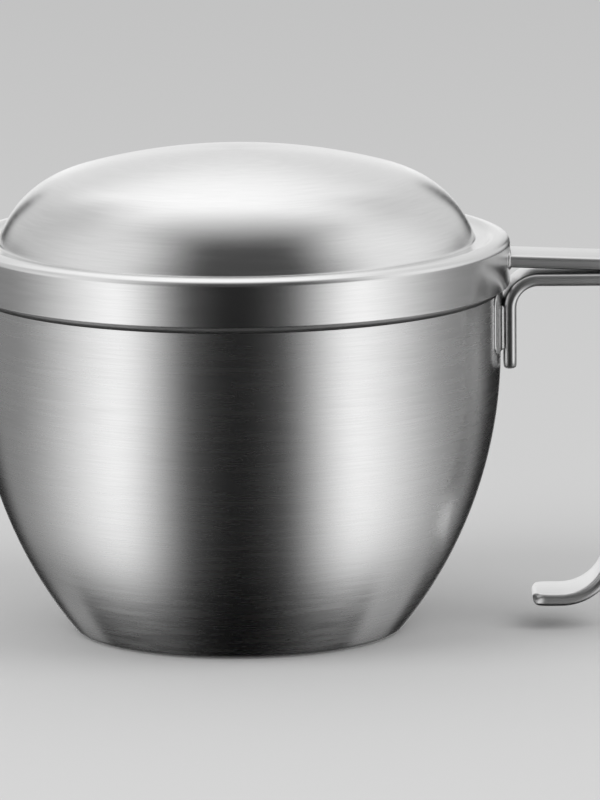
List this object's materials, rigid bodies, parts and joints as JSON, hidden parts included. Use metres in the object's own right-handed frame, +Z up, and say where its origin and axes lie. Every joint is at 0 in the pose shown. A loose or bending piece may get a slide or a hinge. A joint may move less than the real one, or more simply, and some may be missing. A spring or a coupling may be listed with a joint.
{
  "type": "soup bowl with lid",
  "caption": "Double-walled stainless steel soup bowl with a bent strap handle and a domed lift-off lid that has a lifting tab over the handle.",
  "frame": {"origin": "on the bowl's axis, in the flat plane that the bowl stands on", "axes": "+Z up along the bowl's axis, +X out through the handle, the object is symmetric about the XZ plane"},
  "size_m": [0.1915, 0.15, 0.1334],
  "materials": {
    "shell_brushed": "fine horizontal brushing",
    "liner_satin": "satin, spun",
    "base_satin": "satin, spun",
    "strap_polished": "fine satin with softly polished edges",
    "lid_brushed": "fine circular brushing"
  },
  "bodies": {
    "bowl": {"outer_shell": "shell_brushed", "inner_liner": "liner_satin", "base_plate": "base_satin", "handle_pad": "strap_polished", "handle_strap": "strap_polished"},
    "lid": {"lid_cover": "lid_brushed", "lid_tab": "strap_polished"}
  },
  "joints": [
    {"name": "lid_lift", "type": "slide", "parent": "bowl", "child": "lid", "axis": [0, 0, 1], "range_m": [0, 0.06]}
  ]
}
